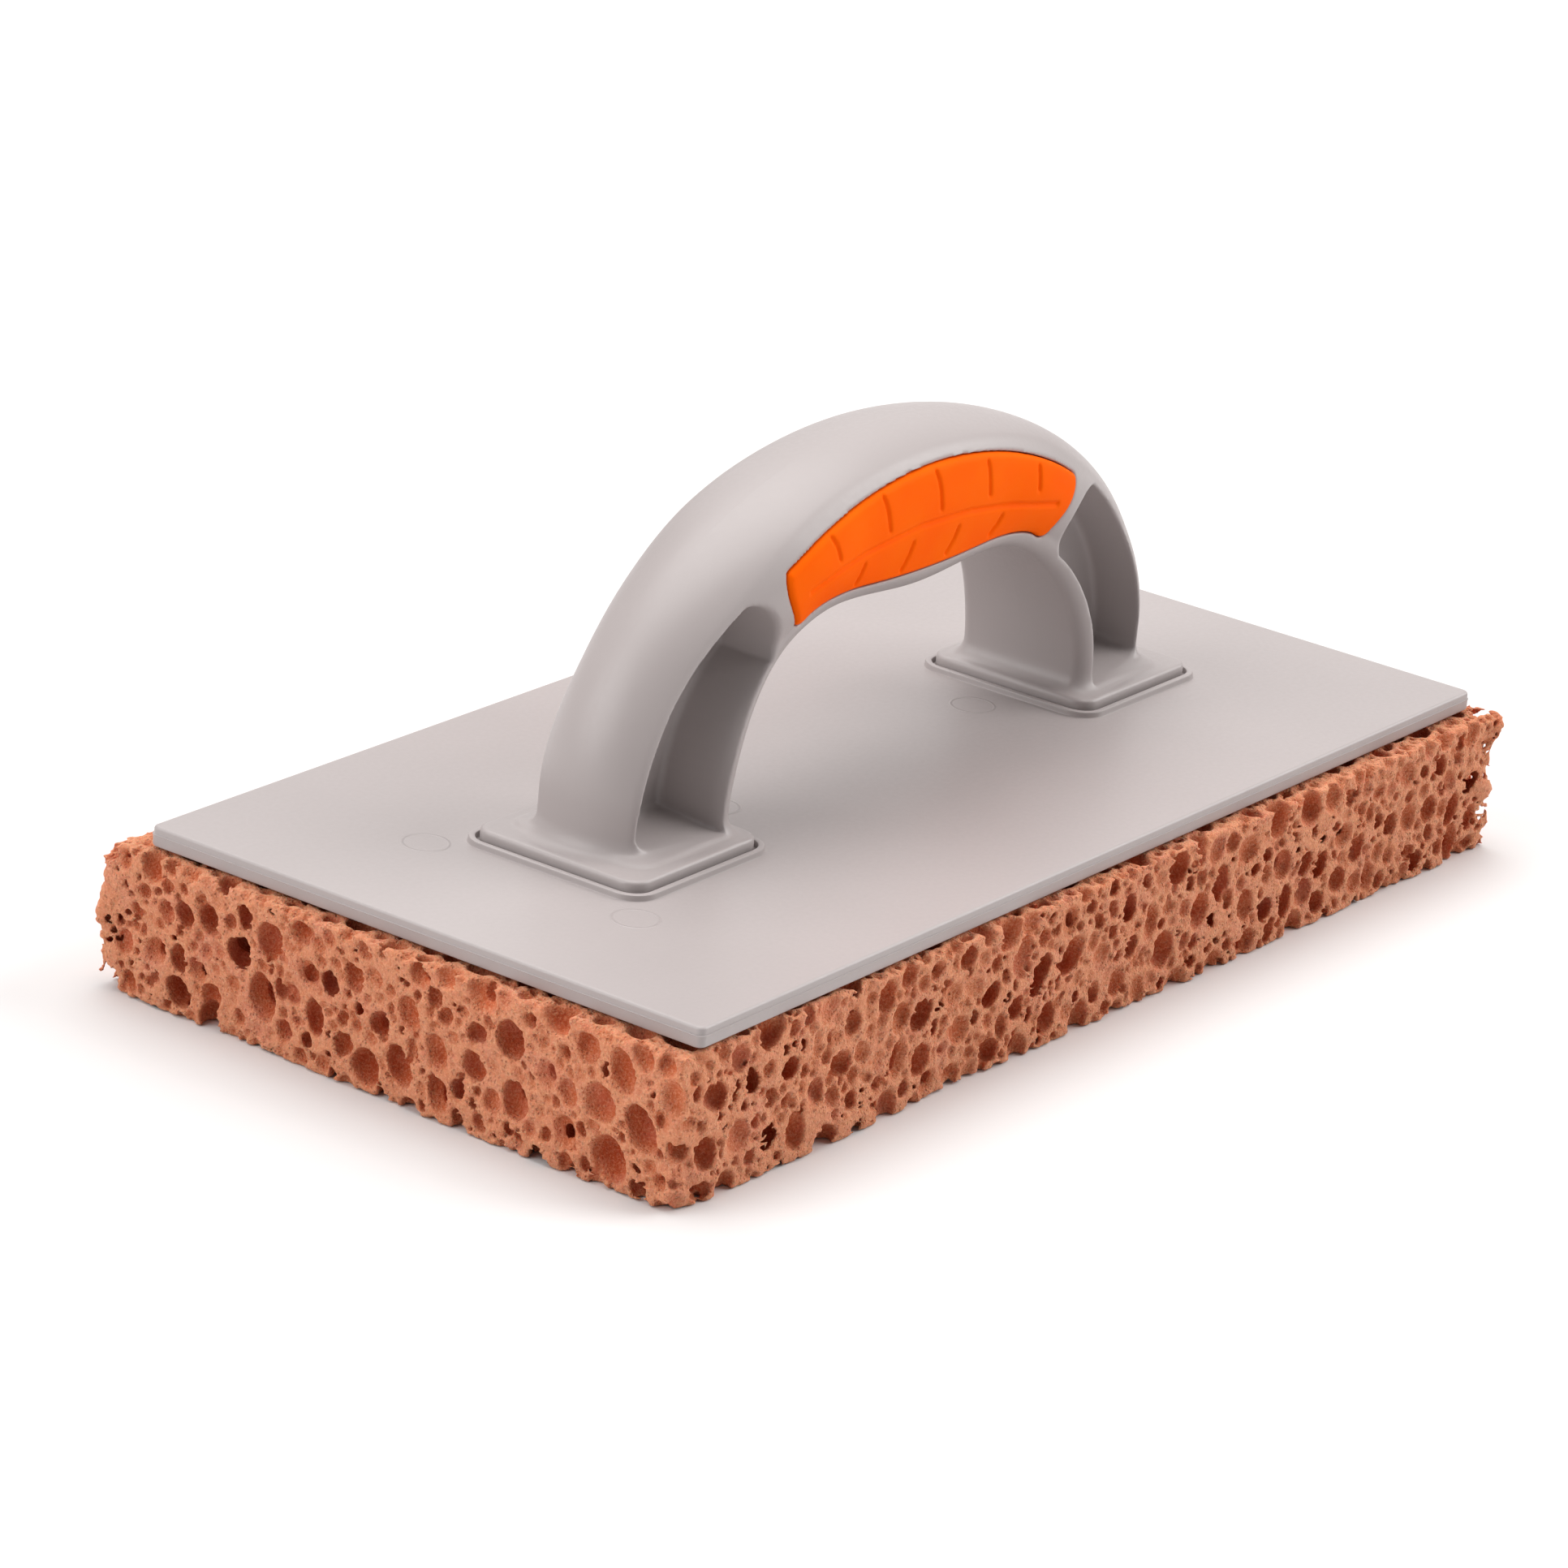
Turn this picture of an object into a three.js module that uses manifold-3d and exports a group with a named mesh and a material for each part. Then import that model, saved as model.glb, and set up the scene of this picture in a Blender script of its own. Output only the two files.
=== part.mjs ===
// Grout float: a coarse sponge glued under a flat plastic backing plate, with a one-piece arched
// handle whose two feet stand inside raised rims on the plate. Each leg is an I-beam with an open
// pocket on both sides, and each side of the grip holds a soft orange pad.
// Millimetres, +Z up, +X along the length. The origin is under the middle of the sponge.
import * as THREE from "three";
import { mergeVertices } from "three/addons/utils/BufferGeometryUtils.js";
import Module from "manifold-3d";

const wasm = await Module();
wasm.setup();

// ---------------------------------------------------------------- driving dimensions
const SPONGE = { length: 277, width: 138, thick: 30, corner: 5, turn: -1.0 };
const GLUE = { length: 262, width: 122, thick: 0.5 };
const PLATE = { length: 270, width: 130, thick: 4, corner: 1.5, x: -1.5, y: -2.5 };
const FOOT = { x: 75.6, side: 39.4, corner: 4, thick: 3.1, edge: 0.8 };
const PLINTH = { x: 74, length: 31, width: 31, corner: 4, height: 4.3 }; // low step under each leg
const RIM = { side: 43.4, corner: 5.5, bead: 1.4, height: 1.3 };

// Arch, seen from the side. Heights are above the plate.
const CROWN = { reach: 90.3, rise: 58, base: 12 }; // outer centre line, an ellipse on short posts
const GRIP = { halfSpan: 24.3, corner: 35.2, base: 5.5, sag: 1.4 }; // hand opening under the grip
const HUB = 4.5; // height of the point that the leg and grip sections fan out from

// Half widths and rounding of the sections, from the foot of a leg to the middle of the grip.
const LEG = { crownHalf: 10.9, crownDrop: 4.1, innerHalf: 15.6 };
const SHOULDER = { crownDrop: 6.4, innerHalf: 13.6 };
const MIDDLE = { crownHalf: 14.8, crownDrop: 4.4, innerHalf: 14.0, barrel: 0.6 };
const INNER_EDGE = { along: 5.0, across: 2.9 };
const FLARE = { reach: 3.0 }; // fillet between a leg and its foot

// Leg pockets, side outline.
const POCKET = {
  outer: { reach: 86.2, rise: 55.7, base: 7.6 },
  inner: { x: 29.3, z: 6, radius: 35 },
  topX: 58.8,
  ceilingBulge: { x: 50.2, z: 44.6 },
  notchZ: 36,
  round: 2.4,
};
const WEB = 3.2;

// Grip pads, side outline, and their pegs.
const PAD = { reach: 49, top: 64.6, shoulder: 51.8, bottom: 40.6, foot: 42.3, proud: 0.5, seat: 12.2 };
const PAD_GAP = 0.3;
const PEG = { x: 20, z: 53, radius: 2.2, length: 6 };

// Handle screws, one up into each leg from under the plate.
const SCREW = { radius: 1.9, length: 6.5, head: 4.2, headThick: 2.2, drive: 1.3, driveDeep: 1.4 };
const SCREW_GAP = 0.2;
const BOSS = { radius: 3.4, height: 9 };

// ---------------------------------------------------------------- looks
const greyPlastic = new THREE.MeshStandardMaterial({ color: 0xcec7c7, roughness: 0.42, metalness: 0 });
const orangeRubber = new THREE.MeshStandardMaterial({ color: 0xff690a, roughness: 0.6, metalness: 0 });
const spongeFoam = new THREE.MeshStandardMaterial({ color: 0xcd8264, roughness: 0.95, metalness: 0 });
const clearGlue = new THREE.MeshStandardMaterial({ color: 0xd9cfb0, roughness: 0.5, metalness: 0 });
const zincSteel = new THREE.MeshStandardMaterial({ color: 0xb9bcc0, roughness: 0.35, metalness: 1 });

// ---------------------------------------------------------------- solids
function solid(geometry) {
  const bare = new THREE.BufferGeometry();
  bare.setAttribute("position", geometry.getAttribute("position"));
  if (geometry.index) bare.setIndex(geometry.index);
  const merged = mergeVertices(bare, 1e-4);
  const vertProperties = new Float32Array(merged.attributes.position.array);
  const triVerts = new Uint32Array(merged.index.array);
  return new wasm.Manifold(new wasm.Mesh({ numProp: 3, vertProperties, triVerts }));
}

function geometryOf(made) {
  const { vertProperties, triVerts } = made.getMesh();
  const geometry = new THREE.BufferGeometry();
  geometry.setAttribute("position", new THREE.BufferAttribute(vertProperties, 3));
  geometry.setIndex(new THREE.BufferAttribute(triVerts, 1));
  return geometry;
}

function roundedRectangle(length, width, radius) {
  const shape = new THREE.Shape();
  const x = length / 2 - radius;
  const y = width / 2 - radius;
  shape.absarc(x, y, radius, 0, Math.PI / 2);
  shape.absarc(-x, y, radius, Math.PI / 2, Math.PI);
  shape.absarc(-x, -y, radius, Math.PI, 1.5 * Math.PI);
  shape.absarc(x, -y, radius, 1.5 * Math.PI, 2 * Math.PI);
  return shape;
}

// An upright prism of a plan outline, from z = low to z = high.
function slab(shape, low, high, curveSegments = 4) {
  const options = { depth: high - low, bevelEnabled: false, curveSegments };
  const geometry = new THREE.ExtrudeGeometry(shape, options);
  geometry.translate(0, 0, low);
  return geometry;
}

// A prism of a side outline drawn in x and z, from y = near to y = far.
function sidewaysPrism(shape, near, far, curveSegments = 8) {
  const options = { depth: far - near, bevelEnabled: false, curveSegments };
  const geometry = new THREE.ExtrudeGeometry(shape, options);
  geometry.rotateX(Math.PI / 2);
  geometry.translate(0, far, 0);
  return geometry;
}

// An upright round solid from its profile of [radius, height] points, which starts and ends at radius 0.
function turned(profile, segments = 20) {
  const points = profile.map(([r, z]) => new THREE.Vector2(r, z));
  const geometry = new THREE.LatheGeometry(points, segments);
  geometry.rotateX(Math.PI / 2);
  return geometry;
}

// A skin through closed loops of points, one after the other, with a flat cap at both ends.
function loft(loops) {
  const count = loops[0].length;
  const positions = loops.flat().flatMap((p) => [p.x, p.y, p.z]);
  const index = [];
  for (let k = 0; k + 1 < loops.length; k += 1) {
    for (let i = 0; i < count; i += 1) {
      const a = k * count + i;
      const b = k * count + ((i + 1) % count);
      index.push(a, b, a + count, b, b + count, a + count);
    }
  }
  const cap = (loop, first, turn) => {
    const middle = loop.reduce((sum, p) => sum.add(p), new THREE.Vector3()).divideScalar(count);
    const centre = positions.length / 3;
    positions.push(middle.x, middle.y, middle.z);
    for (let i = 0; i < count; i += 1) {
      const pair = [first + i, first + ((i + 1) % count)];
      if (turn) pair.reverse();
      index.push(centre, ...pair);
    }
  };
  cap(loops[0], 0, true);
  cap(loops.at(-1), (loops.length - 1) * count, false);
  const geometry = new THREE.BufferGeometry();
  geometry.setAttribute("position", new THREE.Float32BufferAttribute(positions, 3));
  geometry.setIndex(index);
  return geometry;
}

// ---------------------------------------------------------------- the arch
const ease = (value, from, to) => THREE.MathUtils.smoothstep(value, from, to);
const blend = THREE.MathUtils.lerp;

// Height of the hand opening's edge above the plate, at a distance x from the middle.
function openingHeight(x) {
  const across = Math.abs(x);
  if (across < GRIP.halfSpan) {
    const dip = Math.cos((Math.PI * across) / (2 * GRIP.halfSpan));
    return GRIP.base + GRIP.corner - GRIP.sag * dip * dip;
  }
  const left = GRIP.corner ** 2 - (across - GRIP.halfSpan) ** 2;
  return left > 0 ? GRIP.base + Math.sqrt(left) : -1;
}

// Distance from the hub to the outer centre line of the arch, in the direction of an angle.
function outerReach(angle) {
  const [c, s] = [Math.cos(angle), Math.sin(angle)];
  const low = HUB - CROWN.base;
  const a = (c / CROWN.reach) ** 2 + (s / CROWN.rise) ** 2;
  const b = (2 * low * s) / CROWN.rise ** 2;
  const d = (low / CROWN.rise) ** 2 - 1;
  const reach = (-b + Math.sqrt(b * b - 4 * a * d)) / (2 * a);
  return HUB + reach * s < CROWN.base ? CROWN.reach / Math.abs(c) : reach;
}

// Distance from the hub to the edge of the hand opening, by halving.
function innerReach(angle) {
  let [near, far] = [0, 80];
  for (let i = 0; i < 40; i += 1) {
    const middle = (near + far) / 2;
    const inside = HUB + middle * Math.sin(angle) < openingHeight(middle * Math.cos(angle));
    if (inside) near = middle;
    else far = middle;
  }
  return near;
}

// Shape of the section at an angle above the plate, in degrees: 0 at a foot, 90 in the middle.
function sectionSizes(degrees) {
  const shoulder = ease(degrees, 4, 24);
  const grip = ease(degrees, 34, 62);
  return {
    crownHalf: blend(LEG.crownHalf, MIDDLE.crownHalf, ease(degrees, 18, 52)),
    crownDrop: blend(blend(LEG.crownDrop, SHOULDER.crownDrop, shoulder), MIDDLE.crownDrop, grip),
    innerHalf: blend(
      blend(LEG.innerHalf, SHOULDER.innerHalf, ease(degrees, 8, 38)),
      MIDDLE.innerHalf,
      grip,
    ),
    barrel: MIDDLE.barrel * ease(degrees, 30, 50),
  };
}

// Half of a section's outline, from the crown to the inner face: [depth below the crown, half width].
function halfSection(depth, sizes, grow) {
  const points = [];
  const { crownDrop, barrel } = sizes;
  const crownHalf = sizes.crownHalf + grow;
  const innerHalf = sizes.innerHalf + grow;
  const radius = (crownHalf ** 2 + crownDrop ** 2) / (2 * crownDrop);
  const sweep = Math.asin(Math.min(1, crownHalf / radius));
  const arcSteps = 7;
  for (let i = 0; i <= arcSteps; i += 1) {
    const a = (sweep * i) / arcSteps;
    points.push([radius * (1 - Math.cos(a)), radius * Math.sin(a)]);
  }
  const sideSteps = 4;
  const sideEnd = depth - INNER_EDGE.along;
  for (let i = 1; i < sideSteps; i += 1) {
    const t = i / sideSteps;
    const bulge = barrel * 4 * t * (1 - t);
    points.push([blend(crownDrop, sideEnd, t), blend(crownHalf, innerHalf, t) + bulge]);
  }
  const cornerSteps = 5;
  for (let i = 0; i <= cornerSteps; i += 1) {
    const a = (Math.PI / 2) * (i / cornerSteps);
    points.push([
      sideEnd + INNER_EDGE.along * Math.sin(a),
      innerHalf - INNER_EDGE.across * (1 - Math.cos(a)),
    ]);
  }
  return points;
}

// One closed loop: the half section mirrored, set on a line in the side view.
function sectionLoop(outer, inner, sizes, grow) {
  const depth = outer.distanceTo(inner);
  const inward = inner.clone().sub(outer).divideScalar(depth);
  const half = halfSection(depth, sizes, grow);
  const place = ([along, across], side) =>
    new THREE.Vector3(outer.x + inward.x * along, side * across, outer.y + inward.y * along);
  const right = half.map((p) => place(p, 1));
  const left = half.slice(1).reverse().map((p) => place(p, -1));
  return [...right, ...left];
}

// The arch without its pockets: sections fan out from the hub, and each foot flares to its fillet.
function archSkin(grow = 0) {
  const steps = 52;
  const hubPoint = (reach, angle) =>
    new THREE.Vector2(reach * Math.cos(angle), HUB + reach * Math.sin(angle));
  const flare = (side, drop) => {
    const spread = FLARE.reach * (1 - Math.sqrt(1 - drop ** 2));
    const sole = FOOT.thick - 0.1;
    const z = sole + (1 - drop) * (HUB - sole);
    const outer = new THREE.Vector2(side * (outerReach(0) + spread), z);
    const inner = new THREE.Vector2(side * (innerReach(0) - spread), z);
    return sectionLoop(outer, inner, sectionSizes(0), grow + spread);
  };
  const drops = [1, 0.9, 0.7, 0.4];
  const loops = drops.map((drop) => flare(1, drop));
  for (let i = 0; i <= steps; i += 1) {
    const angle = (Math.PI * i) / steps;
    const degrees = 90 - Math.abs(90 - (180 * i) / steps);
    const outer = hubPoint(outerReach(angle), angle);
    const inner = hubPoint(innerReach(angle), angle);
    loops.push(sectionLoop(outer, inner, sectionSizes(degrees), grow));
  }
  drops.reverse().forEach((drop) => loops.push(flare(-1, drop)));
  return solid(loft(loops));
}

// Side outline of a leg's pocket: outer wall, sloping ceiling, inner wall and floor.
function pocketOutline() {
  const { outer, inner, topX, ceilingBulge, notchZ, round } = POCKET;
  const floor = PLINTH.height;
  const innerX = (z) => inner.x + Math.sqrt(inner.radius ** 2 - (z - inner.z) ** 2);
  const shape = new THREE.Shape();
  shape.moveTo(outer.reach, floor + round);
  shape.lineTo(outer.reach, outer.base);
  const wallSteps = 12;
  const lastAngle = Math.acos(topX / outer.reach);
  for (let i = 1; i <= wallSteps; i += 1) {
    const a = (lastAngle * i) / wallSteps;
    shape.lineTo(outer.reach * Math.cos(a), outer.base + outer.rise * Math.sin(a));
  }
  shape.quadraticCurveTo(ceilingBulge.x, ceilingBulge.z, innerX(notchZ), notchZ);
  const innerSteps = 10;
  for (let i = 1; i <= innerSteps; i += 1) {
    const z = blend(notchZ, floor, i / innerSteps);
    shape.lineTo(innerX(z), z);
  }
  shape.lineTo(outer.reach - round, floor);
  shape.quadraticCurveTo(outer.reach, floor, outer.reach, floor + round);
  return shape;
}

// Side outline of a grip pad: long arched top, slanted ends and a lower edge that dips at the ends.
function padOutline(grow = 0) {
  const { reach, top, shoulder, bottom, foot } = PAD;
  const low = GRIP.base + GRIP.corner;
  const shape = new THREE.Shape();
  shape.moveTo(-reach - grow, shoulder);
  shape.bezierCurveTo(-34, 60.9 + grow, -16, top + grow, 0, top + grow);
  shape.bezierCurveTo(16, top + grow, 34, 60.9 + grow, reach + grow, shoulder);
  shape.quadraticCurveTo(reach + 0.4 + grow, shoulder - 2.4, foot + 4.4 + grow, 46);
  shape.lineTo(foot + 1.2 + grow, bottom + 0.4 - grow);
  shape.quadraticCurveTo(foot, bottom - 1 - grow, foot - 3, bottom + 0.9 - grow);
  shape.bezierCurveTo(34, low + 3.2 - grow, 26, low + 3.4 - grow, 20, low + 3 - grow);
  shape.bezierCurveTo(8, low + 2.1 - grow, -8, low + 2.1 - grow, -20, low + 3 - grow);
  shape.bezierCurveTo(-26, low + 3.4 - grow, -34, low + 3.2 - grow, 3 - foot, bottom + 0.9 - grow);
  shape.quadraticCurveTo(-foot, bottom - 1 - grow, -foot - 1.2 - grow, bottom + 0.4 - grow);
  shape.lineTo(-foot - 4.4 - grow, 46);
  shape.quadraticCurveTo(-reach - 0.4 - grow, shoulder - 2.4, -reach - grow, shoulder);
  return shape;
}

// A peg, or its hole, standing out sideways from y = from to y = to.
function peg(x, from, to, radius) {
  const geometry = new THREE.CylinderGeometry(radius, radius, Math.abs(to - from), 16);
  geometry.translate(x, (from + to) / 2, PEG.z);
  return solid(geometry);
}

const outermost = 30; // further out than any part of the handle

// ---------------------------------------------------------------- the pieces
function footPad(x) {
  const { side, corner, thick, edge } = FOOT;
  const top = (inset, z) =>
    roundedRectangle(side - 2 * inset, side - 2 * inset, corner - inset)
      .getPoints(5)
      .slice(0, -1)
      .map((p) => new THREE.Vector3(p.x + x, p.y, z));
  const edgeSteps = 3;
  const loops = [top(0, 0)];
  for (let i = 0; i <= edgeSteps; i += 1) {
    const a = (Math.PI / 2) * (i / edgeSteps);
    loops.push(top(edge * (1 - Math.cos(a)), thick - edge * (1 - Math.sin(a))));
  }
  return solid(loft(loops));
}

function handleBody() {
  let body = archSkin();
  for (const side of [-1, 1]) {
    body = body.add(footPad(side * FOOT.x));
    const step = slab(roundedRectangle(PLINTH.length, PLINTH.width, PLINTH.corner), 0, PLINTH.height);
    step.translate(side * PLINTH.x, 0, 0);
    body = body.add(solid(step));
    const outline = pocketOutline();
    for (const [near, far] of [[WEB / 2, outermost], [-outermost, -WEB / 2]]) {
      const geometry = sidewaysPrism(outline, near, far);
      if (side < 0) geometry.rotateZ(Math.PI);
      body = body.subtract(solid(geometry));
    }
  }
  for (const side of [-1, 1]) {
    const x = side * FOOT.x;
    const post = new THREE.CylinderGeometry(BOSS.radius, BOSS.radius, BOSS.height, 24);
    post.rotateX(Math.PI / 2);
    post.translate(x, 0, BOSS.height / 2);
    body = body.add(solid(post));
    const bore = SCREW.radius + SCREW_GAP;
    const hole = turned([[0, -1], [bore, -1], [bore, SCREW.length - 0.5], [0, SCREW.length + 1]]);
    hole.translate(x, 0, 0);
    body = body.subtract(solid(hole));
  }
  for (const side of [-1, 1]) {
    const seat = PAD.seat - PAD_GAP;
    const [near, far] = side < 0 ? [-outermost, -seat] : [seat, outermost];
    body = body.subtract(solid(sidewaysPrism(padOutline(PAD_GAP), near, far)));
    for (const x of [-PEG.x, PEG.x]) {
      const deep = seat - PEG.length - PAD_GAP;
      body = body.subtract(peg(x, side * deep, side * (seat + 1), PEG.radius + PAD_GAP));
    }
  }
  return body;
}

// A pad follows the grip's rounded side and stands a little proud of it.
function gripPad(side) {
  const [near, far] = side < 0 ? [-outermost, -PAD.seat] : [PAD.seat, outermost];
  let pad = solid(sidewaysPrism(padOutline(), near, far)).intersect(archSkin(PAD.proud));
  for (const x of [-PEG.x, PEG.x]) {
    pad = pad.add(peg(x, side * (PAD.seat - PEG.length), side * (PAD.seat + 1), PEG.radius));
  }
  return pad;
}

function backingPlate() {
  const outline = roundedRectangle(PLATE.length, PLATE.width, PLATE.corner);
  let plate = solid(slab(outline, -PLATE.thick, 0));
  for (const side of [-1, 1]) {
    const x = side * FOOT.x;
    const rim = roundedRectangle(RIM.side, RIM.side, RIM.corner);
    const inside = RIM.side - 2 * RIM.bead;
    rim.holes.push(roundedRectangle(inside, inside, RIM.corner - RIM.bead));
    const bead = slab(rim, -1, RIM.height, 5);
    bead.translate(x, 0, 0);
    plate = plate.add(solid(bead));
    const bore = SCREW.radius + SCREW_GAP;
    const sunk = SCREW.head + SCREW_GAP;
    const step = -PLATE.thick + SCREW.headThick + SCREW_GAP;
    const low = -PLATE.thick - 1;
    const hole = turned([[0, low], [sunk, low], [sunk, step], [bore, step], [bore, 1], [0, 1]], 28);
    hole.translate(x, 0, 0);
    plate = plate.subtract(solid(hole));
  }
  return plate;
}

// A self-tapping screw, head down, with its tip at the top.
function handleScrew() {
  const { radius, length, head, headThick, drive, driveDeep } = SCREW;
  const under = -PLATE.thick + headThick;
  const bottom = -PLATE.thick;
  const profile = [
    [0, bottom + driveDeep],
    [drive, bottom + driveDeep],
    [drive, bottom],
    [head - 0.7, bottom],
    [head, bottom + 0.7],
    [head, under],
    [radius, under],
    [radius, length - 3],
    [0, length - 0.5],
  ];
  return solid(turned(profile, 24));
}

function glueFilm() {
  return solid(slab(roundedRectangle(GLUE.length, GLUE.width, 6), -GLUE.thick, 0));
}

function spongeBlock() {
  return solid(slab(roundedRectangle(SPONGE.length, SPONGE.width, SPONGE.corner), 0, SPONGE.thick));
}

function mesh(name, made, material) {
  const piece = new THREE.Mesh(geometryOf(made), material);
  piece.name = name;
  return piece;
}

// ---------------------------------------------------------------- assembly
const groutFloat = new THREE.Group();

const sponge = mesh("sponge_pad", spongeBlock(), spongeFoam);
sponge.rotation.z = THREE.MathUtils.degToRad(SPONGE.turn);
groutFloat.add(sponge);

const top = new THREE.Group(); // its origin is on the plate's upper face, in the middle
top.position.set(PLATE.x, PLATE.y, SPONGE.thick + GLUE.thick + PLATE.thick);
groutFloat.add(top);

const film = mesh("adhesive_layer", glueFilm(), clearGlue);
film.position.z = -PLATE.thick;
top.add(film);
top.add(mesh("backing_plate", backingPlate(), greyPlastic));
top.add(mesh("handle_body", handleBody(), greyPlastic));
top.add(mesh("front_grip_pad", gripPad(-1), orangeRubber));
top.add(mesh("rear_grip_pad", gripPad(1), orangeRubber));
for (const [name, side] of [["left_handle_screw", -1], ["right_handle_screw", 1]]) {
  const screw = mesh(name, handleScrew(), zincSteel);
  screw.position.x = side * FOOT.x;
  top.add(screw);
}

export default groutFloat;
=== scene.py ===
"""Grout float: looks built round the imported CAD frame. Lengths in the helpers are millimetres."""

import math

import bmesh
import bpy
import numpy as np
import openvdb
from mathutils import Matrix, Vector


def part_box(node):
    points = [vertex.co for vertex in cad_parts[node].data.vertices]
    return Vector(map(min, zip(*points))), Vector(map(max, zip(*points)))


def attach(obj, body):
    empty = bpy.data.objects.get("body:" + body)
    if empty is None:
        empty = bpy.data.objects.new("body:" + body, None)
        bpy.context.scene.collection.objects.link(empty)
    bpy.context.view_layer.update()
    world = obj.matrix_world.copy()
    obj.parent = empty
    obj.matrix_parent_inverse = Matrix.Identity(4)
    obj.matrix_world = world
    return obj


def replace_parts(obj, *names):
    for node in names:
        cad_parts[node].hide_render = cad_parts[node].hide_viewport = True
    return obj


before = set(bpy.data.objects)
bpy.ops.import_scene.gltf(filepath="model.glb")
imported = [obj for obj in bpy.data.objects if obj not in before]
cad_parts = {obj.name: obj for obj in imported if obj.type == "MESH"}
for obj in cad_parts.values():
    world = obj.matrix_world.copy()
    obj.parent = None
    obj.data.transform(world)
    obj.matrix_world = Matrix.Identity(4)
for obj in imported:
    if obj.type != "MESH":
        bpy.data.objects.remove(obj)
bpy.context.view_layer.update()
SCENE = bpy.context.scene
MM = 0.001

# ------------------------------------------------------------------ places taken from the frame
PLATE_LOW, PLATE_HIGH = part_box("backing_plate")
HANDLE_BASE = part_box("handle_body")[0].z
# The plate's upper face, in the middle: the handle's own origin.
TOP = Vector(((PLATE_LOW.x + PLATE_HIGH.x) / 2, (PLATE_LOW.y + PLATE_HIGH.y) / 2, HANDLE_BASE))
TO_TOP = Matrix.Translation(TOP) @ Matrix.Scale(MM, 4)
SPONGE_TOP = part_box("sponge_pad")[1].z / MM


# ------------------------------------------------------------------ fields
def smooth_max(a, b, k):
    """The larger of two fields, with the crease between them rounded over a width k."""
    h = np.maximum(k - np.abs(a - b), 0) / k
    return np.maximum(a, b) + h * h * k / 4


def smooth_min(a, b, k):
    return -smooth_max(-a, -b, k)


def ease(value, start, end):
    """0 before start, 1 after end, and a smooth step between."""
    t = np.clip((value - start) / (end - start), 0, 1)
    return t * t * (3 - 2 * t)


def blend(a, b, t):
    return a + (b - a) * t


def rounded_box(x, y, z, half, centre, corner, edge):
    """An upright slab with rounded vertical corners and a rounded edge round its top."""
    qx = np.abs(x - centre[0]) - (half[0] - corner)
    qy = np.abs(y - centre[1]) - (half[1] - corner)
    side = np.hypot(np.maximum(qx, 0), np.maximum(qy, 0)) + np.minimum(np.maximum(qx, qy), 0) - corner
    lift = z - (centre[2] + half[2])
    u, v = side + edge, lift + edge
    top = np.hypot(np.maximum(u, 0), np.maximum(v, 0)) + np.minimum(np.maximum(u, v), 0) - edge
    return np.maximum(top, (centre[2] - half[2]) - z)


def polygon_distance(px, pz, outline):
    """Signed distance to a closed outline in x and z, negative inside."""
    best = np.full(px.shape, 1e9)
    inside = np.zeros(px.shape, bool)
    for (ax, az), (bx, bz) in zip(outline, outline[1:] + outline[:1]):
        ex, ez = bx - ax, bz - az
        length = ex * ex + ez * ez
        if length < 1e-12:
            continue
        t = np.clip(((px - ax) * ex + (pz - az) * ez) / length, 0, 1)
        best = np.minimum(best, (px - ax - t * ex) ** 2 + (pz - az - t * ez) ** 2)
        crosses = (az > pz) != (bz > pz)
        if ez != 0:
            inside ^= crosses & (px < ex * (pz - az) / ez + ax)
    return np.where(inside, -1, 1) * np.sqrt(best)


def line_distance(px, pz, points):
    """Distance to an open line of points in x and z."""
    best = np.full(px.shape, 1e9)
    for (ax, az), (bx, bz) in zip(points, points[1:]):
        ex, ez = bx - ax, bz - az
        t = np.clip(((px - ax) * ex + (pz - az) * ez) / max(ex * ex + ez * ez, 1e-9), 0, 1)
        best = np.minimum(best, (px - ax - t * ex) ** 2 + (pz - az - t * ez) ** 2)
    return np.sqrt(best)


def bezier(*points, steps=12):
    """Points along a Bezier curve of any degree, without its first point."""
    found = []
    for i in range(1, steps + 1):
        row, t = [np.array(p, float) for p in points], i / steps
        while len(row) > 1:
            row = [a + (b - a) * t for a, b in zip(row, row[1:])]
        found.append(tuple(row[0]))
    return found


def mesh_object(name, points, faces, matrix):
    mesh = bpy.data.meshes.new(name)
    mesh.from_pydata(points.tolist(), [], faces.tolist())
    mesh.update()
    made = bpy.data.objects.new(name, mesh)
    SCENE.collection.objects.link(made)
    mesh.transform(matrix)
    mesh.shade_smooth()
    return made


def sample(field, at):
    """Trilinear values of a field at points given in voxels."""
    at = np.clip(at, 0, np.array(field.shape) - 1.001)
    base = at.astype(int)
    f = at - base
    total = 0
    for dx in (0, 1):
        for dy in (0, 1):
            for dz in (0, 1):
                w = abs(1 - dx - f[:, 0]) * abs(1 - dy - f[:, 1]) * abs(1 - dz - f[:, 2])
                total = total + w * field[base[:, 0] + dx, base[:, 1] + dy, base[:, 2] + dz]
    return total


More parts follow.
